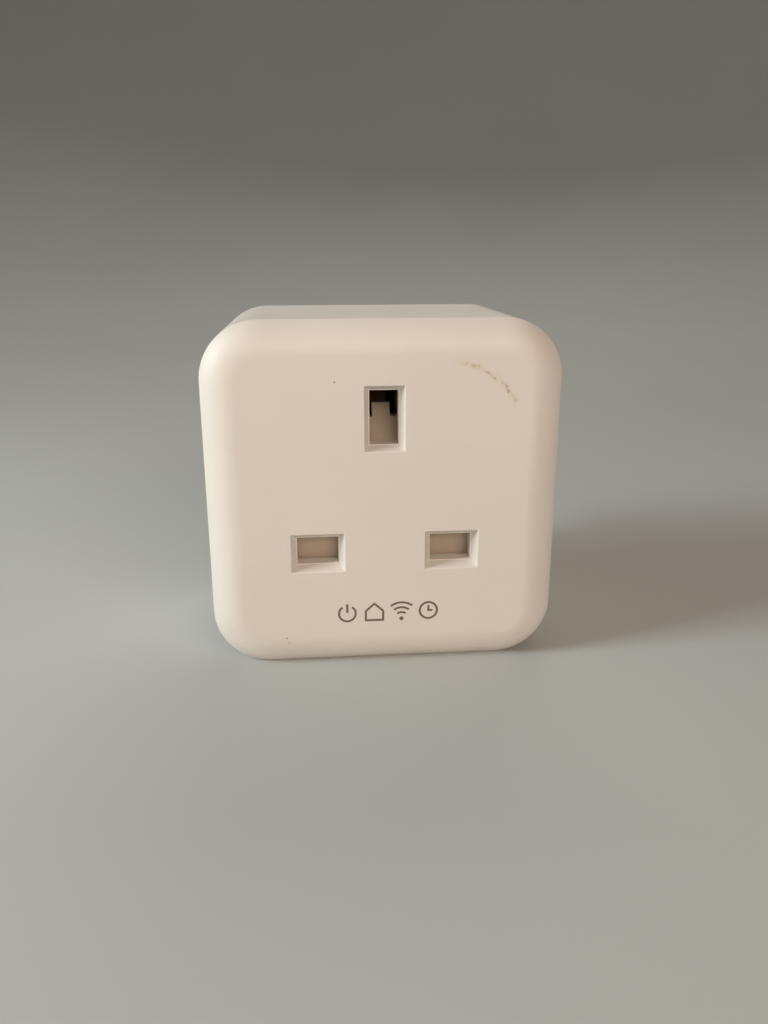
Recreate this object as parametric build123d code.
from build123d import *
import os

# Smart plug for BS 1363 sockets, in millimetres, standing as it does in a wall socket.
# +X is to the right seen from the front, +Y goes into the wall, +Z is up (earth pin on top).
# The origin is on the rear face that meets the wall socket, midway between the live and neutral pins.

# Driving dimensions: casing
BODY_WIDTH = 58.0
BODY_DEPTH = 38.0
CORNER_RADIUS = 9.5
CENTRE_Z = 8.65
WALL = 2.0
FACE_THICKNESS = 2.2
PILLOW_WIDTH = 5.3
PILLOW_RADIUS = 6.42
CREASE_RADIUS = 0.25
REAR_EDGE_RADIUS = 1.2
REAR_COVER_DEPTH = 6.0
SEAM_CHAMFER = 0.3
REAR_PLATE = 2.5
EDGE_OVERLAP = 1.0
LIP_LENGTH = 2.0
LIP_THICKNESS = 0.9
LIP_CLEARANCE = 0.1
INNER_CORNER_RADIUS = 1.5

# Driving dimensions: BS 1363 pins and apertures
PIN_HALF_SPACING = 11.115
EARTH_Z = 22.23
LINE_PIN = (6.35, 3.975)
LINE_PIN_LENGTH = 17.7
EARTH_PIN = (3.97, 7.92)
EARTH_PIN_LENGTH = 22.73
PIN_CORNER_RADIUS = 0.35
PIN_TIP_LENGTH = 1.6
PIN_TIP_INSET = 0.6
SLEEVE_LENGTH = 9.5
SLEEVE_THICKNESS = 0.4
PIN_INNER_END = -6.5
PIN_BOSS_WALL = 1.5
PIN_BOSS_CORNER_RADIUS = 1.0
ANCHOR_Y = -4.9
ANCHOR_RADIUS = 0.7
LINE_APERTURE = (6.9, 4.6)
EARTH_APERTURE = (4.7, 8.8)
LINE_BEVEL_WIDTH = 1.0
EARTH_BEVEL_WIDTH = 0.9
BEVEL_DEPTH = 1.8
MOUTH_EDGE_RADIUS = 0.2
LEDGE_WIDTH = 0.12
WELL_WALL = 1.2
WELL_END = -33.7

# Driving dimensions: screws
SCREW_OFFSET = 23.0
BOSS_RADIUS = 2.8
PILLAR_RADIUS = 2.3
PILLAR_FOOT_RADIUS = 3.2
SCREW_RADIUS = 1.1
SCREW_HEAD_RADIUS = 1.9
SCREW_HEAD_HEIGHT = 1.3
SCREW_HEAD_SEAT = -3.0
SCREW_TIP = -20.0
PILOT_END = -21.0
THREAD_PITCH = 0.9
THREAD_DEPTH = 0.22
THREAD_RUNOUT = 2.0
DRIVE_LENGTH = 2.2
DRIVE_WIDTH = 0.5
DRIVE_DEPTH = 0.7
HOLE_CLEARANCE = 0.1

# Driving dimensions: contact carrier
CARRIER_FRONT = -30.9
CARRIER_BACK = -29.3
CARRIER_LOW = -15.0
CARRIER_HIGH = 28.8
CARRIER_HALF_WIDTH = 17.6
CARRIER_NECK_HALF_WIDTH = 5.6
CARRIER_WING_LOW = -10.5
CARRIER_WING_HIGH = 17.4
CARRIER_SCREW_X = 14.5
CARRIER_SCREW_Z = 14.0
CARRIER_SCREW_RADIUS = 0.9
CARRIER_SCREW_HEAD_RADIUS = 1.8
CARRIER_SCREW_HEAD_HEIGHT = 1.2
CARRIER_SCREW_TIP = -34.4
CARRIER_BOSS_RADIUS = 2.2
POCKET_END = -16.0
POCKET_WALL = 1.1
LINE_POCKET = (7.2, 7.2)
EARTH_POCKET = (7.0, 8.8)
EARTH_POCKET_START = -27.6
RAMP_SLOT_HALF_WIDTH = 3.6
RAMP_SLOT_LOW = 9.0

# Driving dimensions: shutter
SHUTTER_FRONT = -33.1
SHUTTER_BACK = -31.2
SHUTTER_HALF_WIDTH = 15.7
SHUTTER_LOW = -3.4
SHUTTER_HIGH = 3.2
SHUTTER_ARM_HALF_WIDTH = 3.2
SHUTTER_SIDE_CLEARANCE = 0.2
SHUTTER_STOP_CLEARANCE = 0.1
RAIL_THICKNESS = 1.2
RAMP_START_Z = 17.6
RAMP_SHOULDER_Z = 21.3
RAMP_TOP_Z = 23.4
RAMP_TOP_DEPTH = -29.0
RAMP_HEEL_DEPTH = -28.0
TONGUE_HALF_WIDTH = 1.5

# Driving dimensions: shutter spring
SPRING_Y = -32.6
SPRING_COIL_RADIUS = 1.12
SPRING_WIRE_RADIUS = 0.18
SPRING_TURNS = 7
SPRING_SEAT_Z = -13.4
SPRING_PEG_RADIUS = 0.7
SPRING_FOOT_HALF_WIDTH = 2.0
SPRING_FOOT_FRONT = -34.2

# Driving dimensions: socket contacts
LEAF_THICKNESS = 0.7
LINE_LEAF_WIDTH = 5.2
EARTH_LEAF_WIDTH = 6.0
LEAF_PINCH = 2.2
LEAF_FLARE = 3.0
LEAF_ROOT = 2.9
LEAF_LEAD_IN = 3.6
LEAF_BEND_RADIUS = 0.8
LINE_LEAF_FRONT = -28.6
LINE_LEAF_BACK = -18.0
EARTH_LEAF_FRONT = -26.2
EARTH_LEAF_BACK = -14.4
CONTACT_TAB_WIDTH = 4.0
STRAP_WIDTH = 4.0
STRAP_THICKNESS = 0.8
STRAP_TOP_Z = 25.0
STRAP_LOW_Z = 19.4
RIVET_RADIUS = 1.2
RIVET_HEIGHT = 0.6

# Driving dimensions: circuit board
BOARD_FRONT = -12.0
BOARD_BACK = -10.4
BOARD_WIDTH = 52.6
BOARD_CORNER_RADIUS = 7.0
TAIL_WIDTH = 4.4
TAIL_THICKNESS = 1.2
TAIL_END = -12.6
LEAD_RADIUS = 0.3
STANDOFF = 0.4

# Driving dimensions: relay
RELAY_X = -21.1
RELAY_Z = 13.2
RELAY_WIDTH = 10.2
RELAY_LENGTH = 18.4
RELAY_HEIGHT = 15.3
RELAY_WALL = 0.6
RELAY_BASE_THICKNESS = 2.0
BOBBIN_Z = 17.0
BOBBIN_WIDTH = 8.2
BOBBIN_FLANGE = 0.8
BOBBIN_HEIGHT = 9.0
BOBBIN_CORE_RADIUS = 1.6
BOBBIN_TUBE_RADIUS = 2.1
WINDING_RADIUS = 3.7
POLE_HEIGHT = 0.4
YOKE_THICKNESS = 1.0
YOKE_Z = 12.3
HINGE_GAP = 0.55
ARMATURE_THICKNESS = 0.9
ARMATURE_WIDTH = 7.0
ARMATURE_TOP_Z = 21.2
BLADE_THICKNESS = 0.2
BLADE_WIDTH = 4.0
BLADE_Z = 10.4
BLADE_DROP = 10.4
BLADE_REACH = 17.0
CONTACT_RIVET_RADIUS = 1.2
CONTACT_RIVET_HEIGHT = 0.5
FIXED_CONTACT_Z = 9.25
FIXED_BLADE_Z = 8.1

# Driving dimensions: components on the board
INPUT_CAPACITOR_PLACE = (19.5, -7.5)
INPUT_CAPACITOR_SIZE = (4.0, 12.0)
OUTPUT_CAPACITOR_PLACE = (-20.0, -8.0)
OUTPUT_CAPACITOR_SIZE = (3.15, 11.0)
CAN_GROOVE_DEPTH = 0.08
FILM_CAPACITOR_PLACE = (5.5, -14.0)
FILM_CAPACITOR_SIZE = (13.0, 11.0, 5.0)
FILM_CAPACITOR_LEAD_PITCH = 10.0
FILM_CAPACITOR_EDGE_RADIUS = 0.5
VARISTOR_PLACE = (-8.0, -9.5)
VARISTOR_RADIUS = 4.5
VARISTOR_THICKNESS = 3.5
VARISTOR_EDGE_RADIUS = 1.2
VARISTOR_LIFT = 1.4
VARISTOR_LEAD_PITCH = 5.0
RESISTOR_PLACE = (-9.0, -15.0)
RESISTOR_RADIUS = 1.75
RESISTOR_LENGTH = 9.0
RESISTOR_EDGE_RADIUS = 0.6
RESISTOR_LEAD_PITCH = 12.4
CHOKE_PLACE = (14.0, 11.5)
CHOKE_HEIGHT = 9.0
CHOKE_FLANGE_RADIUS = 4.0
CHOKE_FLANGE_THICKNESS = 1.4
CHOKE_WINDING_RADIUS = 3.6
CHIP_STANDOFF = 0.15
CHIP_EDGE_CHAMFER = 0.2
LEG_THICKNESS = 0.2
LEG_REACH = 0.5
LEG_ROOT = 0.3
LEG_WIDTH_SHARE = 0.4
POWER_CHIP_PLACE = (-0.5, 11.5)
POWER_CHIP_SIZE = (4.9, 3.9, 1.6)
BRIDGE_PLACE = (-9.8, 11.0)
BRIDGE_SIZE = (4.8, 3.9, 1.6)
REGULATOR_PLACE = (14.0, 25.0)
REGULATOR_SIZE = (4.5, 2.6, 1.5)
DIODE_PLACE = (-11.5, 17.5)
DIODE_SIZE = (2.6, 4.0, 2.1)

# Driving dimensions: radio module
RADIO_BOARD_WIDTH = 17.2
RADIO_BOARD_FRONT = -27.5
RADIO_BOARD_LOW_Z = 31.0
RADIO_BOARD_THICKNESS = 0.8
SHIELD_SIZE = (12.0, 10.5, 2.4)
SHIELD_Y = -19.75
SHIELD_SHEET = 0.2
RADIO_CHIP_WIDTH = 5.0
RADIO_CHIP_HEIGHT = 0.9
RADIO_CHIP_CHAMFER = 0.15

# Driving dimensions: button, switch and light
BUTTON_Y = -19.5
BUTTON_Z = CENTRE_Z
BUTTON_LENGTH = 10.0
BUTTON_WIDTH = 5.0
BUTTON_CLEARANCE = 0.15
BUTTON_PROUD = 0.4
BUTTON_FLANGE = 0.8
BUTTON_FLANGE_MARGIN = 1.0
BUTTON_EDGE_RADIUS = 0.35
BUTTON_BOARD_X = 21.3
BUTTON_BOARD_THICKNESS = 1.0
BUTTON_BOARD_FRONT = -27.0
BUTTON_BOARD_Z = (1.0, 20.0)
SWITCH_SIZE = 6.0
SWITCH_THICKNESS = 3.1
SWITCH_CORNER_CHAMFER = 0.4
PLUNGER_RADIUS = 1.7
PLUNGER_DEPTH = 0.8
PLUNGER_CLEARANCE = 0.06
LIGHT_Z = 17.0
LIGHT_PIPE_RADIUS = 1.0
LIGHT_COLLAR_RADIUS = 1.8
LIGHT_COLLAR_LENGTH = 1.2
LED_SIZE = (1.1, 2.0, 1.3)
LED_CHAMFER = 0.2
LED_GAP = 0.1
LIGHT_CLEARANCE = 0.05


def prism(sketch, front, back):
    """A sketch drawn in X and Z, solid from the front depth to the back depth along Y."""
    return extrude(Plane.XZ.offset(-back) * sketch, amount=back - front)


def block(x, y, z):
    """A box from its low and high ends along X, Y and Z."""
    middle = Pos((x[0] + x[1]) / 2, (y[0] + y[1]) / 2, (z[0] + z[1]) / 2)
    return middle * Box(x[1] - x[0], y[1] - y[0], z[1] - z[0])


def span(centre, size):
    """The low and high ends of a length laid about its centre."""
    return (centre - size / 2, centre + size / 2)


def rod(start, end, radius):
    """A round rod from one point to another."""
    axis = Vector(*end) - Vector(*start)
    return Solid.make_cylinder(radius, axis.length, Plane(origin=start, z_dir=axis))


def outline(inset):
    """The casing's square outline, drawn in by an inset."""
    width = BODY_WIDTH - 2 * inset
    return Pos(0, CENTRE_Z) * RectangleRounded(width, width, CORNER_RADIUS - inset)


def pin_section(size, inset=0.0):
    """The section of a pin, a sleeve or the hole that holds one."""
    return RectangleRounded(size[0] - 2 * inset, size[1] - 2 * inset, PIN_CORNER_RADIUS * (1 - inset))


def screw_places():
    """Where the cover screws stand, as X and Z."""
    low = CENTRE_Z - SCREW_OFFSET
    high = CENTRE_Z + SCREW_OFFSET
    return [(side * SCREW_OFFSET, z) for side in (-1, 1) for z in (low, high)]


def apertures():
    """Centre, size and bevel width of the live, neutral and earth apertures."""
    live = (PIN_HALF_SPACING, 0.0, LINE_APERTURE, LINE_BEVEL_WIDTH)
    neutral = (-PIN_HALF_SPACING, 0.0, LINE_APERTURE, LINE_BEVEL_WIDTH)
    earth = (0.0, EARTH_Z, EARTH_APERTURE, EARTH_BEVEL_WIDTH)
    return [live, neutral, earth]


def aperture_cut(x, z, size, bevel):
    """The space of one aperture: a bevelled mouth, a narrow ledge and a straight well behind it."""
    place = Pos(x, z)
    mouth = place * Rectangle(size[0] + 2 * bevel, size[1] + 2 * bevel)
    ledge = place * Rectangle(size[0] + 2 * LEDGE_WIDTH, size[1] + 2 * LEDGE_WIDTH)
    mouth_face = Plane.XZ.offset(BODY_DEPTH) * mouth
    ledge_face = Plane.XZ.offset(BODY_DEPTH - BEVEL_DEPTH) * ledge
    well = prism(place * Rectangle(*size), BEVEL_DEPTH - BODY_DEPTH, WELL_END + EDGE_OVERLAP)
    return loft([mouth_face, ledge_face], ruled=True) + well


def mouth_edges(cover):
    """The sharp edges where the apertures' bevels meet the flat face, all shorter than the face's own."""
    reach = EARTH_Z + EARTH_APERTURE[1]
    front = [edge for edge in cover.edges().group_by(Axis.Y)[0] if edge.geom_type == GeomType.LINE]
    longest = 2 * EARTH_APERTURE[1]
    return [edge for edge in front if edge.length < longest and abs(edge.center().Z) < reach]


def pillowed_shell():
    """The front cover's outer form: a flat face, a rounded pillow and a crisp crease to the side walls."""
    spread = PILLOW_RADIUS - PILLOW_WIDTH
    cushion = prism(outline(-spread), -BODY_DEPTH, -REAR_COVER_DEPTH)
    front_edges = cushion.edges().group_by(Axis.Y)[0]
    cushion = fillet(front_edges, PILLOW_RADIUS)
    shell = cushion & prism(outline(0), -BODY_DEPTH, -REAR_COVER_DEPTH)
    crease_limit = -BODY_DEPTH + PILLOW_WIDTH
    crease = [
        edge
        for edge in shell.edges()
        if PILLOW_WIDTH / 2 - BODY_DEPTH < edge.bounding_box().min.Y
        and edge.bounding_box().max.Y < crease_limit
    ]
    shell = fillet(crease, CREASE_RADIUS)
    return chamfer(shell.edges().group_by(Axis.Y)[-1], SEAM_CHAMFER)


def button_shape(margin):
    """The power button's pill outline, grown by a margin, in Y and Z."""
    pill = SlotOverall(BUTTON_LENGTH + 2 * margin, BUTTON_WIDTH + 2 * margin, rotation=90)
    return Plane.YZ * (Pos(BUTTON_Y, BUTTON_Z) * pill)


def front_cover():
    """The front shell: face, side walls, aperture wells and screw bosses."""
    side = BODY_WIDTH / 2
    inner_face = FACE_THICKNESS - BODY_DEPTH
    cavity = prism(outline(WALL), inner_face, -REAR_COVER_DEPTH)
    cavity = fillet(cavity.edges().group_by(Axis.Y)[0], INNER_CORNER_RADIUS)
    rebate_inset = WALL - LIP_THICKNESS - LIP_CLEARANCE
    rebate_end = -REAR_COVER_DEPTH - LIP_LENGTH - LIP_CLEARANCE
    cover = pillowed_shell() - cavity - prism(outline(rebate_inset), rebate_end, -REAR_COVER_DEPTH)
    for x, z, size, _ in apertures():
        well = Pos(x, z) * Rectangle(size[0] + 2 * WELL_WALL, size[1] + 2 * WELL_WALL)
        cover += prism(well, inner_face, WELL_END)
    for x, z in screw_places():
        boss_start = inner_face - EDGE_OVERLAP
        boss = rod((x, boss_start, z), (x, BOARD_FRONT, z), BOSS_RADIUS)
        cover += boss & prism(outline(WALL / 2), boss_start, BOARD_FRONT)
        cover -= rod((x, BOARD_FRONT, z), (x, PILOT_END, z), SCREW_RADIUS)
    for x in (-CARRIER_SCREW_X, CARRIER_SCREW_X):
        z = CARRIER_SCREW_Z
        cover += rod((x, inner_face - EDGE_OVERLAP, z), (x, CARRIER_FRONT, z), CARRIER_BOSS_RADIUS)
        cover -= rod((x, CARRIER_FRONT, z), (x, CARRIER_SCREW_TIP, z), CARRIER_SCREW_RADIUS)
    for x, z, size, bevel in apertures():
        cover -= aperture_cut(x, z, size, bevel)
    cover = fillet(mouth_edges(cover), MOUTH_EDGE_RADIUS)
    cover -= extrude(Pos(side - 2 * WALL, 0, 0) * button_shape(BUTTON_CLEARANCE), amount=3 * WALL)
    light_start = (side - 2 * WALL, BUTTON_Y, LIGHT_Z)
    light_end = (side + WALL, BUTTON_Y, LIGHT_Z)
    return cover - rod(light_start, light_end, LIGHT_PIPE_RADIUS + LIGHT_CLEARANCE)


def pins():
    """Centre and section of the live, neutral and earth pins."""
    live = (PIN_HALF_SPACING, 0.0, LINE_PIN)
    neutral = (-PIN_HALF_SPACING, 0.0, LINE_PIN)
    earth = (0.0, EARTH_Z, EARTH_PIN)
    return [live, neutral, earth]


def rear_cover():
    """The rear shell: the plate that carries the pins, its rim and lip, and the screw pillars."""
    cover = prism(outline(0), -REAR_COVER_DEPTH, 0)
    cover = fillet(cover.edges().group_by(Axis.Y)[-1], REAR_EDGE_RADIUS)
    cover = chamfer(cover.edges().group_by(Axis.Y)[0], SEAM_CHAMFER)
    cover -= prism(outline(WALL), -REAR_COVER_DEPTH, -REAR_PLATE)
    lip_outer = prism(outline(WALL - LIP_THICKNESS), -REAR_COVER_DEPTH - LIP_LENGTH, -REAR_COVER_DEPTH)
    lip_inner = prism(outline(WALL), -REAR_COVER_DEPTH - LIP_LENGTH, -REAR_COVER_DEPTH)
    cover += lip_outer - lip_inner
    for x, z, size in pins():
        boss = RectangleRounded(
            size[0] + 2 * PIN_BOSS_WALL, size[1] + 2 * PIN_BOSS_WALL, PIN_BOSS_CORNER_RADIUS
        )
        cover += prism(Pos(x, z) * boss, -REAR_COVER_DEPTH, -REAR_PLATE)
    for x, z in screw_places():
        foot = rod((x, -REAR_COVER_DEPTH, z), (x, -REAR_PLATE / 2, z), PILLAR_FOOT_RADIUS)
        cover += foot & prism(outline(WALL / 2), -REAR_COVER_DEPTH, 0)
        cover += rod((x, BOARD_BACK, z), (x, -REAR_PLATE, z), PILLAR_RADIUS)
        cover -= rod((x, BOARD_BACK, z), (x, 0, z), SCREW_RADIUS + HOLE_CLEARANCE)
        cover -= rod((x, SCREW_HEAD_SEAT, z), (x, 0, z), SCREW_HEAD_RADIUS + 2 * HOLE_CLEARANCE)
    for x, z, size in pins()[:2]:
        cover -= prism(Pos(x, z) * pin_section(size), -REAR_PLATE, 0)
        cover -= prism(Pos(x, z) * pin_section(size, SLEEVE_THICKNESS), -REAR_COVER_DEPTH, -REAR_PLATE)
    x, z, size = pins()[2]
    cover -= prism(Pos(x, z) * pin_section(size), -REAR_COVER_DEPTH, 0)
    for x, z, size in pins():
        cover += pin_anchor(x, z, size)
    return cover


def pin_anchor(x, z, size):
    """The moulded cross web that runs through a hole in a pin and holds it in the rear cover."""
    reach = size[0] / 2 + PIN_BOSS_WALL / 2
    return rod((x - reach, ANCHOR_Y, z), (x + reach, ANCHOR_Y, z), ANCHOR_RADIUS)


def pointed_bar(place, size, start, end):
    """A pin's full-size bar, from its start depth to a tapered tip at its end depth."""
    shoulder = end - PIN_TIP_LENGTH
    bar = prism(place * pin_section(size), start, shoulder)
    root = Plane.XZ.offset(-shoulder) * (place * pin_section(size))
    tip = Plane.XZ.offset(-end) * (place * pin_section(size, PIN_TIP_INSET))
    return bar + loft([root, tip], ruled=True)


def line_pin(x):
    """A live or neutral pin: slim under its sleeve, full size beyond it, with a tail to the board."""
    place = Pos(x, 0)
    tip = pointed_bar(place, LINE_PIN, SLEEVE_LENGTH, LINE_PIN_LENGTH)
    core = prism(place * pin_section(LINE_PIN, SLEEVE_THICKNESS), PIN_INNER_END, SLEEVE_LENGTH)
    tail = prism(place * Rectangle(TAIL_WIDTH, TAIL_THICKNESS), TAIL_END, PIN_INNER_END)
    return tip + core + tail - pin_anchor(x, 0, LINE_PIN)


def line_pin_sleeve(x):
    """The insulating sleeve round the inner half of a live or neutral pin."""
    outer = prism(Pos(x, 0) * pin_section(LINE_PIN), -REAR_PLATE, SLEEVE_LENGTH)
    return outer - prism(Pos(x, 0) * pin_section(LINE_PIN, SLEEVE_THICKNESS), -REAR_PLATE, SLEEVE_LENGTH)


def earth_pin():
    """The longer, bare earth pin, with the rivet that holds the strap to its inner end."""
    pin = pointed_bar(Pos(0, EARTH_Z), EARTH_PIN, PIN_INNER_END, EARTH_PIN_LENGTH)
    pin -= pin_anchor(0, EARTH_Z, EARTH_PIN)
    rivet_end = PIN_INNER_END - STRAP_THICKNESS - RIVET_HEIGHT
    return pin + rod((0, rivet_end, EARTH_Z), (0, PIN_INNER_END, EARTH_Z), RIVET_RADIUS)


def earth_strap():
    """The bent strip that runs through the board from the earth pin to the earth contact."""
    front = EARTH_LEAF_BACK + LEAF_THICKNESS / 2
    foot_y = (PIN_INNER_END - STRAP_THICKNESS, PIN_INNER_END)
    foot = block(span(0, STRAP_WIDTH), foot_y, (STRAP_LOW_Z, STRAP_TOP_Z))
    foot -= rod((0, foot_y[0], EARTH_Z), (0, foot_y[1], EARTH_Z), RIVET_RADIUS)
    blade = block(
        span(0, STRAP_WIDTH), (front, foot_y[0]), (STRAP_TOP_Z - STRAP_THICKNESS, STRAP_TOP_Z)
    )
    return foot + blade


def leaf_path(front, back):
    """The bent line of a socket contact: two leaves that pinch the pin, joined at the back."""
    pinch = front + LEAF_LEAD_IN
    corners = [
        (front, LEAF_FLARE),
        (pinch, LEAF_PINCH),
        (back, LEAF_ROOT),
        (back, -LEAF_ROOT),
        (pinch, -LEAF_PINCH),
        (front, -LEAF_FLARE),
    ]
    return trace(FilletPolyline(*corners, radius=LEAF_BEND_RADIUS), LEAF_THICKNESS)


def line_contact(x):
    """A live or neutral socket contact with its tab down to the board."""
    leaves = extrude(Plane.YZ * leaf_path(LINE_LEAF_FRONT, LINE_LEAF_BACK), LINE_LEAF_WIDTH / 2, both=True)
    tab_z = span(-LEAF_ROOT + LEAF_BEND_RADIUS, LEAF_THICKNESS)
    tab = block(span(0, CONTACT_TAB_WIDTH), (LINE_LEAF_BACK, BOARD_FRONT), tab_z)
    return Pos(x, 0, 0) * (leaves + tab)


def earth_contact():
    """The earth socket contact, whose leaves stand left and right of the taller earth pin."""
    leaves = extrude(Plane.YZ * leaf_path(EARTH_LEAF_FRONT, EARTH_LEAF_BACK), EARTH_LEAF_WIDTH / 2, both=True)
    return Pos(0, 0, EARTH_Z) * Rot(0, 90, 0) * leaves


def contact_carrier():
    """The frame behind the shutter: shutter rails and stops, spring seat and contact pockets."""
    wings = block(
        (-CARRIER_HALF_WIDTH, CARRIER_HALF_WIDTH),
        (CARRIER_FRONT, CARRIER_BACK),
        (CARRIER_WING_LOW, CARRIER_WING_HIGH),
    )
    neck = block(
        (-CARRIER_NECK_HALF_WIDTH, CARRIER_NECK_HALF_WIDTH),
        (CARRIER_FRONT, CARRIER_BACK),
        (CARRIER_LOW, CARRIER_HIGH),
    )
    carrier = wings + neck
    rail_start = SHUTTER_HALF_WIDTH + SHUTTER_SIDE_CLEARANCE
    rail_end = rail_start + RAIL_THICKNESS
    stop_low = SHUTTER_HIGH + SHUTTER_STOP_CLEARANCE
    stop_high = stop_low + RAIL_THICKNESS
    for side in (-1, 1):
        rail_x = sorted((side * rail_start, side * rail_end))
        stop_x = sorted((side * (rail_start - 2 * RAIL_THICKNESS), side * rail_end))
        carrier += block(rail_x, (SHUTTER_FRONT, CARRIER_FRONT), (CARRIER_WING_LOW, stop_high))
        carrier += block(stop_x, (SHUTTER_FRONT, CARRIER_FRONT), (stop_low, stop_high))
        screw_x = side * CARRIER_SCREW_X
        carrier -= rod(
            (screw_x, CARRIER_FRONT, CARRIER_SCREW_Z),
            (screw_x, CARRIER_BACK, CARRIER_SCREW_Z),
            CARRIER_SCREW_RADIUS + HOLE_CLEARANCE,
        )
        pocket_x = side * PIN_HALF_SPACING
        carrier += block(
            span(pocket_x, LINE_POCKET[0] + 2 * POCKET_WALL),
            (CARRIER_BACK, POCKET_END),
            span(0, LINE_POCKET[1] + 2 * POCKET_WALL),
        )
        carrier -= block(
            span(pocket_x, LINE_POCKET[0]), (CARRIER_BACK, POCKET_END), span(0, LINE_POCKET[1])
        )
        carrier -= block(
            span(pocket_x, LINE_APERTURE[0]), (CARRIER_FRONT, CARRIER_BACK), span(0, LINE_APERTURE[1])
        )
    carrier += block(
        span(0, EARTH_POCKET[0] + 2 * POCKET_WALL),
        (CARRIER_BACK, POCKET_END),
        span(EARTH_Z, EARTH_POCKET[1] + 2 * POCKET_WALL),
    )
    carrier -= block(
        span(0, EARTH_POCKET[0]), (CARRIER_BACK, POCKET_END), span(EARTH_Z, EARTH_POCKET[1])
    )
    slot_x = (-RAMP_SLOT_HALF_WIDTH, RAMP_SLOT_HALF_WIDTH)
    slot_top = EARTH_Z + EARTH_POCKET[1] / 2
    carrier -= block(slot_x, (CARRIER_FRONT, EARTH_POCKET_START), (RAMP_SLOT_LOW, slot_top))
    seat_x = (-SPRING_FOOT_HALF_WIDTH, SPRING_FOOT_HALF_WIDTH)
    carrier += block(seat_x, (SPRING_FOOT_FRONT, CARRIER_FRONT), (CARRIER_LOW, SPRING_SEAT_Z))
    peg_top = SPRING_SEAT_Z + RAIL_THICKNESS
    return carrier + rod((0, SPRING_Y, SPRING_SEAT_Z), (0, SPRING_Y, peg_top), SPRING_PEG_RADIUS)


def shutter():
    """The sliding shutter: a flat bar over two apertures and a ramped arm up to the third."""
    bar = block(
        (-SHUTTER_HALF_WIDTH, SHUTTER_HALF_WIDTH),
        (SHUTTER_FRONT, SHUTTER_BACK),
        (SHUTTER_LOW, SHUTTER_HIGH),
    )
    thickness = SHUTTER_BACK - SHUTTER_FRONT
    profile = Polygon(
        (SHUTTER_FRONT, SHUTTER_LOW),
        (SHUTTER_FRONT, RAMP_START_Z),
        (RAMP_TOP_DEPTH, RAMP_TOP_Z),
        (RAMP_HEEL_DEPTH, RAMP_TOP_Z),
        (RAMP_HEEL_DEPTH, RAMP_SHOULDER_Z),
        (SHUTTER_BACK, RAMP_START_Z - thickness / 2),
        (SHUTTER_BACK, SHUTTER_LOW),
        align=None,
    )
    arm = extrude(Plane.YZ * profile, SHUTTER_ARM_HALF_WIDTH, both=True)
    for side in (-1, 1):
        shoulder_x = sorted((side * TONGUE_HALF_WIDTH, side * SHUTTER_ARM_HALF_WIDTH))
        arm -= block(shoulder_x, (SHUTTER_FRONT, RAMP_HEEL_DEPTH), (RAMP_SHOULDER_Z, RAMP_TOP_Z))
    foot_x = (-SPRING_FOOT_HALF_WIDTH, SPRING_FOOT_HALF_WIDTH)
    foot = block(foot_x, (SPRING_FOOT_FRONT, SHUTTER_FRONT), (SHUTTER_LOW, SHUTTER_LOW + thickness))
    peg_end = SHUTTER_LOW - RAIL_THICKNESS
    peg = rod((0, SPRING_Y, SHUTTER_LOW), (0, SPRING_Y, peg_end), SPRING_PEG_RADIUS)
    return bar + arm + foot + peg


def shutter_spring():
    """The compression spring between the carrier's seat and the shutter's foot."""
    height = SHUTTER_LOW - SPRING_SEAT_Z - 2 * SPRING_WIRE_RADIUS
    line = Helix(height / SPRING_TURNS, height, SPRING_COIL_RADIUS)
    start = Plane(origin=line @ 0, z_dir=line % 0)
    coil = sweep(start * Circle(SPRING_WIRE_RADIUS), line)
    return Pos(0, SPRING_Y, SPRING_SEAT_Z + SPRING_WIRE_RADIUS) * coil


def cross_recess(x, z, mouth, depth):
    """The cross-shaped drive recess of a screw whose head faces the back."""
    bar = Rectangle(DRIVE_LENGTH, DRIVE_WIDTH) + Rectangle(DRIVE_WIDTH, DRIVE_LENGTH)
    return prism(Pos(x, z) * bar, mouth - depth, mouth)


def cover_screws():
    """The four screws that hold the rear cover and the board to the front cover."""
    screws = []
    for x, z in screw_places():
        mouth = SCREW_HEAD_SEAT + SCREW_HEAD_HEIGHT
        head = rod((x, SCREW_HEAD_SEAT, z), (x, mouth, z), SCREW_HEAD_RADIUS)
        head -= cross_recess(x, z, mouth, DRIVE_DEPTH)
        screw = head + rod((x, SCREW_TIP, z), (x, SCREW_HEAD_SEAT, z), SCREW_RADIUS)
        turns = int((SCREW_HEAD_SEAT - SCREW_TIP - THREAD_RUNOUT) / THREAD_PITCH)
        for turn in range(turns):
            groove = SCREW_TIP + (turn + 0.5) * THREAD_PITCH
            ring = rod((x, groove, z), (x, groove + THREAD_PITCH / 2, z), SCREW_RADIUS)
            ring -= rod((x, groove, z), (x, groove + THREAD_PITCH / 2, z), SCREW_RADIUS - THREAD_DEPTH)
            screw -= ring
        screws.append(screw)
    return Compound(children=screws)


def carrier_screws():
    """The two short screws that hold the contact carrier to the front cover."""
    screws = []
    for side in (-1, 1):
        x = side * CARRIER_SCREW_X
        z = CARRIER_SCREW_Z
        mouth = CARRIER_BACK + CARRIER_SCREW_HEAD_HEIGHT
        head = rod((x, CARRIER_BACK, z), (x, mouth, z), CARRIER_SCREW_HEAD_RADIUS)
        head -= cross_recess(x, z, mouth, DRIVE_DEPTH)
        shank = rod((x, CARRIER_SCREW_TIP, z), (x, CARRIER_BACK, z), CARRIER_SCREW_RADIUS)
        screws.append(head + shank)
    return Compound(children=screws)


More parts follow.
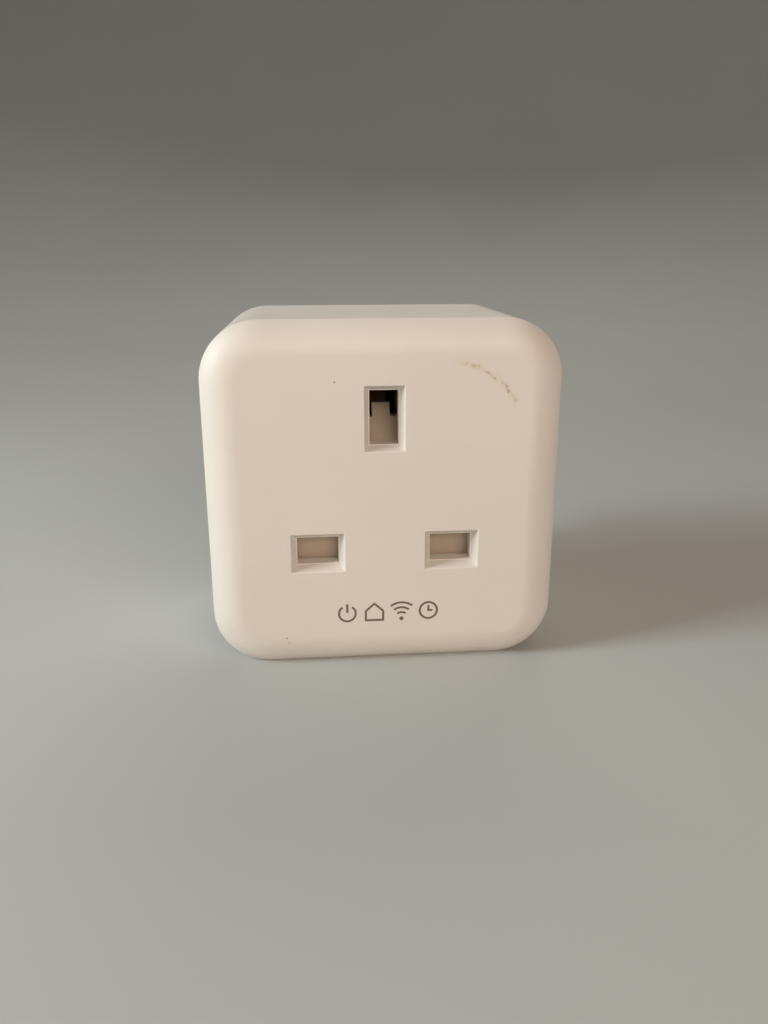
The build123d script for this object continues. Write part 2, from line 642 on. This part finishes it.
def main_board():
    """The mains circuit board, clamped between the screw pillars and the front bosses."""
    plate = Pos(0, CENTRE_Z) * RectangleRounded(BOARD_WIDTH, BOARD_WIDTH, BOARD_CORNER_RADIUS)
    for x, z in screw_places():
        plate -= Pos(x, z) * Circle(SCREW_RADIUS + 2 * HOLE_CLEARANCE)
    for x in (-PIN_HALF_SPACING, PIN_HALF_SPACING):
        plate -= Pos(x, 0) * Rectangle(TAIL_WIDTH + 2 * HOLE_CLEARANCE, TAIL_THICKNESS + 2 * HOLE_CLEARANCE)
    strap_z = STRAP_TOP_Z - STRAP_THICKNESS / 2
    plate -= Pos(0, strap_z) * Rectangle(STRAP_WIDTH + 4 * HOLE_CLEARANCE, 3 * STRAP_THICKNESS)
    return prism(plate, BOARD_FRONT, BOARD_BACK)


def relay_base():
    """The relay's moulded base, with the pins that it stands on."""
    length = RELAY_LENGTH - 2 * RELAY_WALL
    width = RELAY_WIDTH - 2 * RELAY_WALL
    top = BOARD_FRONT - STANDOFF - RELAY_BASE_THICKNESS
    base = block(span(RELAY_X, width), (top, BOARD_FRONT - STANDOFF), span(RELAY_Z, length))
    for x in span(RELAY_X, width - 2 * RELAY_WALL):
        for z in span(RELAY_Z, length - 2 * RELAY_WALL):
            base += rod((x, BOARD_FRONT, z), (x, top, z), LEAD_RADIUS)
    return base


def relay_case():
    """The relay's thin box, open towards the board."""
    top = BOARD_FRONT - STANDOFF - RELAY_HEIGHT
    outer = block(
        span(RELAY_X, RELAY_WIDTH), (top, BOARD_FRONT - STANDOFF), span(RELAY_Z, RELAY_LENGTH)
    )
    outer = fillet(outer.faces().sort_by(Axis.Y)[0].edges(), RELAY_WALL)
    inner = block(
        span(RELAY_X, RELAY_WIDTH - 2 * RELAY_WALL),
        (top + RELAY_WALL, BOARD_FRONT - STANDOFF),
        span(RELAY_Z, RELAY_LENGTH - 2 * RELAY_WALL),
    )
    return outer - inner


def bobbin_foot():
    """The depth at which the relay's bobbin stands on its base."""
    return BOARD_FRONT - STANDOFF - RELAY_BASE_THICKNESS - YOKE_THICKNESS


def bobbin_head():
    """The depth of the bobbin's other end, towards the armature."""
    return bobbin_foot() - BOBBIN_HEIGHT


def relay_bobbin():
    """The two flanges and tube that the relay's winding is on."""
    foot = bobbin_foot()
    head = bobbin_head()
    flange = Pos(RELAY_X, BOBBIN_Z) * RectangleRounded(BOBBIN_WIDTH, BOBBIN_WIDTH, RELAY_WALL)
    bobbin = prism(flange, foot - BOBBIN_FLANGE, foot)
    bobbin += prism(flange, head, head + BOBBIN_FLANGE)
    bobbin += rod((RELAY_X, head, BOBBIN_Z), (RELAY_X, foot, BOBBIN_Z), BOBBIN_TUBE_RADIUS)
    return bobbin - rod((RELAY_X, head, BOBBIN_Z), (RELAY_X, foot, BOBBIN_Z), BOBBIN_CORE_RADIUS)


def relay_winding():
    """The copper wire wound between the flanges, as one sleeve."""
    low = (RELAY_X, bobbin_head() + BOBBIN_FLANGE, BOBBIN_Z)
    high = (RELAY_X, bobbin_foot() - BOBBIN_FLANGE, BOBBIN_Z)
    return rod(low, high, WINDING_RADIUS) - rod(low, high, BOBBIN_TUBE_RADIUS)


def relay_core():
    """The iron core through the bobbin, whose head is the pole."""
    head = bobbin_head()
    core = rod((RELAY_X, head, BOBBIN_Z), (RELAY_X, bobbin_foot(), BOBBIN_Z), BOBBIN_CORE_RADIUS)
    pole_end = (RELAY_X, head - POLE_HEIGHT, BOBBIN_Z)
    return core + rod((RELAY_X, head, BOBBIN_Z), pole_end, WINDING_RADIUS)


def relay_yoke():
    """The bent iron frame under and beside the winding, whose edge carries the armature."""
    foot = bobbin_foot()
    top = bobbin_head() - POLE_HEIGHT
    leg_z = span(YOKE_Z, YOKE_THICKNESS)
    base_z = (leg_z[0], BOBBIN_Z + BOBBIN_CORE_RADIUS)
    base = block(span(RELAY_X, ARMATURE_WIDTH), (foot, foot + YOKE_THICKNESS), base_z)
    return base + block(span(RELAY_X, ARMATURE_WIDTH), (top, foot), leg_z)


def armature_face():
    """The depth of the armature's face towards the pole, at rest."""
    return bobbin_head() - POLE_HEIGHT - HINGE_GAP


def relay_armature():
    """The iron plate that the relay's coil pulls in."""
    face = armature_face()
    low_z = YOKE_Z - YOKE_THICKNESS / 2
    plate = block(span(RELAY_X, ARMATURE_WIDTH), (face - ARMATURE_THICKNESS, face), (low_z, ARMATURE_TOP_Z))
    corners = plate.edges().filter_by(Axis.Y).group_by(Axis.Z)[-1]
    return fillet(corners, ARMATURE_THICKNESS)


def relay_contact_blade():
    """The spring blade on the armature, bent down past the yoke, with the moving contact at its end."""
    face = armature_face() - ARMATURE_THICKNESS
    x = span(RELAY_X, BLADE_WIDTH)
    arm = block(x, (face - BLADE_THICKNESS, face), (BLADE_Z, BLADE_REACH))
    drop = block(x, (face - BLADE_THICKNESS, face + BLADE_DROP), (BLADE_Z, BLADE_Z + BLADE_THICKNESS))
    rivet_y = face + BLADE_DROP - CONTACT_RIVET_RADIUS
    rivet = rod(
        (RELAY_X, rivet_y, BLADE_Z), (RELAY_X, rivet_y, BLADE_Z - CONTACT_RIVET_HEIGHT), CONTACT_RIVET_RADIUS
    )
    return arm + drop + rivet


def relay_fixed_contact():
    """The fixed contact on its blade, which stands on the relay's base."""
    rivet_y = armature_face() - ARMATURE_THICKNESS + BLADE_DROP - CONTACT_RIVET_RADIUS
    base_top = BOARD_FRONT - STANDOFF - RELAY_BASE_THICKNESS
    blade = block(
        span(RELAY_X, BLADE_WIDTH),
        (rivet_y - 2 * CONTACT_RIVET_RADIUS, base_top),
        (FIXED_BLADE_Z, FIXED_BLADE_Z + 3 * BLADE_THICKNESS),
    )
    rivet = rod(
        (RELAY_X, rivet_y, FIXED_BLADE_Z + 3 * BLADE_THICKNESS),
        (RELAY_X, rivet_y, FIXED_CONTACT_Z),
        CONTACT_RIVET_RADIUS,
    )
    return blade + rivet


def standing_capacitor(place, size):
    """An electrolytic capacitor: a can with a rolled groove and a domed edge, on two leads."""
    x, z = place
    radius, height = size
    foot = BOARD_FRONT - STANDOFF
    can = rod((x, foot - height, z), (x, foot, z), radius)
    can = fillet(can.edges().group_by(Axis.Y)[0], radius / 8)
    groove_y = foot - height / 6
    groove_start = (x, groove_y - radius / 8, z)
    groove_end = (x, groove_y + radius / 8, z)
    ring = rod(groove_start, groove_end, radius)
    can -= ring - rod(groove_start, groove_end, radius * (1 - CAN_GROOVE_DEPTH))
    for lead_x in span(x, radius):
        can += rod((lead_x, foot, z), (lead_x, BOARD_FRONT, z), LEAD_RADIUS)
    return can


def input_capacitor():
    """The high-voltage smoothing capacitor."""
    return standing_capacitor(INPUT_CAPACITOR_PLACE, INPUT_CAPACITOR_SIZE)


def output_capacitor():
    """The low-voltage smoothing capacitor."""
    return standing_capacitor(OUTPUT_CAPACITOR_PLACE, OUTPUT_CAPACITOR_SIZE)


def film_capacitor():
    """The boxed suppression capacitor across the mains."""
    x, z = FILM_CAPACITOR_PLACE
    width, height, thickness = FILM_CAPACITOR_SIZE
    foot = BOARD_FRONT - STANDOFF
    box = block(span(x, width), (foot - height, foot), span(z, thickness))
    box = fillet(box.edges(), FILM_CAPACITOR_EDGE_RADIUS)
    for lead_x in span(x, FILM_CAPACITOR_LEAD_PITCH):
        box += rod((lead_x, foot - STANDOFF, z), (lead_x, BOARD_FRONT, z), LEAD_RADIUS)
    return box


def varistor():
    """The disc-shaped surge arrester, on two leads."""
    x, z = VARISTOR_PLACE
    disc_y = BOARD_FRONT - VARISTOR_LIFT - VARISTOR_RADIUS
    low, high = span(z, VARISTOR_THICKNESS)
    disc = rod((x, disc_y, low), (x, disc_y, high), VARISTOR_RADIUS)
    disc = fillet(disc.edges().filter_by(GeomType.CIRCLE), VARISTOR_EDGE_RADIUS)
    for lead_x in span(x, VARISTOR_LEAD_PITCH):
        disc += rod((lead_x, disc_y, z), (lead_x, BOARD_FRONT, z), LEAD_RADIUS)
    return disc


def fusible_resistor():
    """The axial resistor that also acts as the board's fuse, with its leads bent down."""
    x, z = RESISTOR_PLACE
    y = BOARD_FRONT - STANDOFF - RESISTOR_RADIUS
    low, high = span(x, RESISTOR_LENGTH)
    body = rod((low, y, z), (high, y, z), RESISTOR_RADIUS)
    body = fillet(body.edges().filter_by(GeomType.CIRCLE), RESISTOR_EDGE_RADIUS)
    for end_x in span(x, RESISTOR_LEAD_PITCH):
        body += rod((x, y, z), (end_x, y, z), LEAD_RADIUS)
        body += rod((end_x, y - LEAD_RADIUS, z), (end_x, BOARD_FRONT, z), LEAD_RADIUS)
    return body


def choke():
    """The drum-core inductor: two ferrite flanges with the winding between them."""
    x, z = CHOKE_PLACE
    top = BOARD_FRONT - CHOKE_HEIGHT
    drum = rod((x, top, z), (x, BOARD_FRONT, z), CHOKE_WINDING_RADIUS)
    drum += rod((x, BOARD_FRONT - CHOKE_FLANGE_THICKNESS, z), (x, BOARD_FRONT, z), CHOKE_FLANGE_RADIUS)
    return drum + rod((x, top, z), (x, top + CHOKE_FLANGE_THICKNESS, z), CHOKE_FLANGE_RADIUS)


def chip_leg(x, root_z, side, width, height):
    """One bent leg of a chip: out from the body, down, and a toe on the board."""
    end_z = root_z + side * LEG_REACH
    across = span(x, width)
    arm_y = (BOARD_FRONT - height / 2 - LEG_THICKNESS, BOARD_FRONT - height / 2)
    shin_z = sorted((end_z - side * LEG_THICKNESS, end_z))
    leg = block(across, arm_y, sorted((root_z - side * LEG_ROOT, end_z)))
    leg += block(across, (arm_y[1], BOARD_FRONT), shin_z)
    toe_z = sorted((end_z - side * LEG_THICKNESS, end_z + side * LEG_REACH))
    return leg + block(across, (BOARD_FRONT - LEG_THICKNESS, BOARD_FRONT), toe_z)


def gull_wing_chip(place, size, legs):
    """A flat moulded chip with rows of bent legs on its two long sides."""
    x, z = place
    length, width, height = size
    body = block(span(x, length), (BOARD_FRONT - height, BOARD_FRONT - CHIP_STANDOFF), span(z, width))
    body = chamfer(body.faces().sort_by(Axis.Y)[0].edges(), CHIP_EDGE_CHAMFER)
    pitch = length / legs
    for index in range(legs):
        leg_x = x - length / 2 + (index + 0.5) * pitch
        for side in (-1, 1):
            body += chip_leg(leg_x, z + side * width / 2, side, pitch * LEG_WIDTH_SHARE, height)
    return body


def power_chip():
    """The switching converter chip, with four legs a side."""
    return gull_wing_chip(POWER_CHIP_PLACE, POWER_CHIP_SIZE, 4)


def bridge_rectifier():
    """The four-diode bridge that turns the mains to direct current, with two legs a side."""
    return gull_wing_chip(BRIDGE_PLACE, BRIDGE_SIZE, 2)


def regulator():
    """The low-voltage regulator for the radio board, with three legs a side."""
    return gull_wing_chip(REGULATOR_PLACE, REGULATOR_SIZE, 3)


def flyback_diode():
    """The diode across the relay's winding, with one leg a side."""
    return gull_wing_chip(DIODE_PLACE, DIODE_SIZE, 1)


def radio_board():
    """The Wi-Fi module's own board, standing on the main board."""
    board_z = (RADIO_BOARD_LOW_Z, RADIO_BOARD_LOW_Z + RADIO_BOARD_THICKNESS)
    return block(span(0, RADIO_BOARD_WIDTH), (RADIO_BOARD_FRONT, BOARD_FRONT), board_z)


def radio_shield():
    """The thin metal can over the radio chip, under the radio board."""
    width, length, height = SHIELD_SIZE
    low = RADIO_BOARD_LOW_Z - height
    can = block(span(0, width), span(SHIELD_Y, length), (low, RADIO_BOARD_LOW_Z))
    inner_x = span(0, width - 2 * SHIELD_SHEET)
    inner_y = span(SHIELD_Y, length - 2 * SHIELD_SHEET)
    return can - block(inner_x, inner_y, (low + SHIELD_SHEET, RADIO_BOARD_LOW_Z))


def radio_chip():
    """The radio chip inside the shield."""
    chip_z = (RADIO_BOARD_LOW_Z - RADIO_CHIP_HEIGHT, RADIO_BOARD_LOW_Z)
    chip = block(span(0, RADIO_CHIP_WIDTH), span(SHIELD_Y, RADIO_CHIP_WIDTH), chip_z)
    return chamfer(chip.edges().group_by(Axis.Z)[0], RADIO_CHIP_CHAMFER)


def button_board():
    """The small board that stands behind the power button."""
    board_x = (BUTTON_BOARD_X, BUTTON_BOARD_X + BUTTON_BOARD_THICKNESS)
    return block(board_x, (BUTTON_BOARD_FRONT, BOARD_FRONT), BUTTON_BOARD_Z)


def switch_top():
    """The X at which the tactile switch's housing ends."""
    return BUTTON_BOARD_X + BUTTON_BOARD_THICKNESS + SWITCH_THICKNESS


def flange_inner():
    """The X of the power button's inner side."""
    return BODY_WIDTH / 2 - WALL - BUTTON_FLANGE


def switch_body():
    """The tactile switch's housing, with the well that its plunger moves in."""
    bottom = BUTTON_BOARD_X + BUTTON_BOARD_THICKNESS
    top = switch_top()
    housing = block((bottom, top), span(BUTTON_Y, SWITCH_SIZE), span(BUTTON_Z, SWITCH_SIZE))
    housing = chamfer(housing.edges().filter_by(Axis.X), SWITCH_CORNER_CHAMFER)
    well_start = (top - 2 * PLUNGER_DEPTH, BUTTON_Y, BUTTON_Z)
    return housing - rod(well_start, (top, BUTTON_Y, BUTTON_Z), PLUNGER_RADIUS + PLUNGER_CLEARANCE)


def switch_plunger():
    """The tactile switch's round plunger, under the power button."""
    start = (switch_top() - PLUNGER_DEPTH, BUTTON_Y, BUTTON_Z)
    return rod(start, (flange_inner(), BUTTON_Y, BUTTON_Z), PLUNGER_RADIUS)


def power_button():
    """The pill-shaped button in the right wall, with the flange that keeps it in."""
    inner = flange_inner()
    wall_inner = BODY_WIDTH / 2 - WALL
    cap = extrude(Pos(wall_inner, 0, 0) * button_shape(0), amount=WALL + BUTTON_PROUD)
    cap = fillet(cap.edges().group_by(Axis.X)[-1], BUTTON_EDGE_RADIUS)
    return cap + extrude(Pos(inner, 0, 0) * button_shape(BUTTON_FLANGE_MARGIN), amount=BUTTON_FLANGE)


def status_led():
    """The indicator light on the button board."""
    start = BUTTON_BOARD_X + BUTTON_BOARD_THICKNESS
    height, length, width = LED_SIZE
    lamp = block((start, start + height), span(BUTTON_Y, length), span(LIGHT_Z, width))
    return chamfer(lamp.faces().sort_by(Axis.X)[-1].edges(), LED_CHAMFER)


def light_pipe():
    """The clear rod that carries the indicator light out through the right wall."""
    side = BODY_WIDTH / 2
    start = BUTTON_BOARD_X + BUTTON_BOARD_THICKNESS + LED_SIZE[0] + LED_GAP
    pipe = rod((start, BUTTON_Y, LIGHT_Z), (side, BUTTON_Y, LIGHT_Z), LIGHT_PIPE_RADIUS)
    collar_start = (side - WALL - LIGHT_COLLAR_LENGTH, BUTTON_Y, LIGHT_Z)
    return pipe + rod(collar_start, (side - WALL, BUTTON_Y, LIGHT_Z), LIGHT_COLLAR_RADIUS)


NODES = {
    "front_cover": front_cover(),
    "rear_cover": rear_cover(),
    "cover_screws": cover_screws(),
    "live_pin": line_pin(PIN_HALF_SPACING),
    "neutral_pin": line_pin(-PIN_HALF_SPACING),
    "earth_pin": earth_pin(),
    "live_pin_sleeve": line_pin_sleeve(PIN_HALF_SPACING),
    "neutral_pin_sleeve": line_pin_sleeve(-PIN_HALF_SPACING),
    "earth_strap": earth_strap(),
    "live_contact": line_contact(PIN_HALF_SPACING),
    "neutral_contact": line_contact(-PIN_HALF_SPACING),
    "earth_contact": earth_contact(),
    "contact_carrier": contact_carrier(),
    "carrier_screws": carrier_screws(),
    "shutter": shutter(),
    "shutter_spring": shutter_spring(),
    "main_board": main_board(),
    "relay_base": relay_base(),
    "relay_case": relay_case(),
    "relay_bobbin": relay_bobbin(),
    "relay_winding": relay_winding(),
    "relay_core": relay_core(),
    "relay_yoke": relay_yoke(),
    "relay_armature": relay_armature(),
    "relay_contact_blade": relay_contact_blade(),
    "relay_fixed_contact": relay_fixed_contact(),
    "input_capacitor": input_capacitor(),
    "output_capacitor": output_capacitor(),
    "film_capacitor": film_capacitor(),
    "varistor": varistor(),
    "fusible_resistor": fusible_resistor(),
    "choke": choke(),
    "power_chip": power_chip(),
    "bridge_rectifier": bridge_rectifier(),
    "regulator": regulator(),
    "flyback_diode": flyback_diode(),
    "radio_board": radio_board(),
    "radio_chip": radio_chip(),
    "radio_shield": radio_shield(),
    "button_board": button_board(),
    "switch_body": switch_body(),
    "switch_plunger": switch_plunger(),
    "power_button": power_button(),
    "status_led": status_led(),
    "light_pipe": light_pipe(),
}

os.makedirs("parts", exist_ok=True)
for name, shape in NODES.items():
    export_step(shape, f"parts/{name}.step")
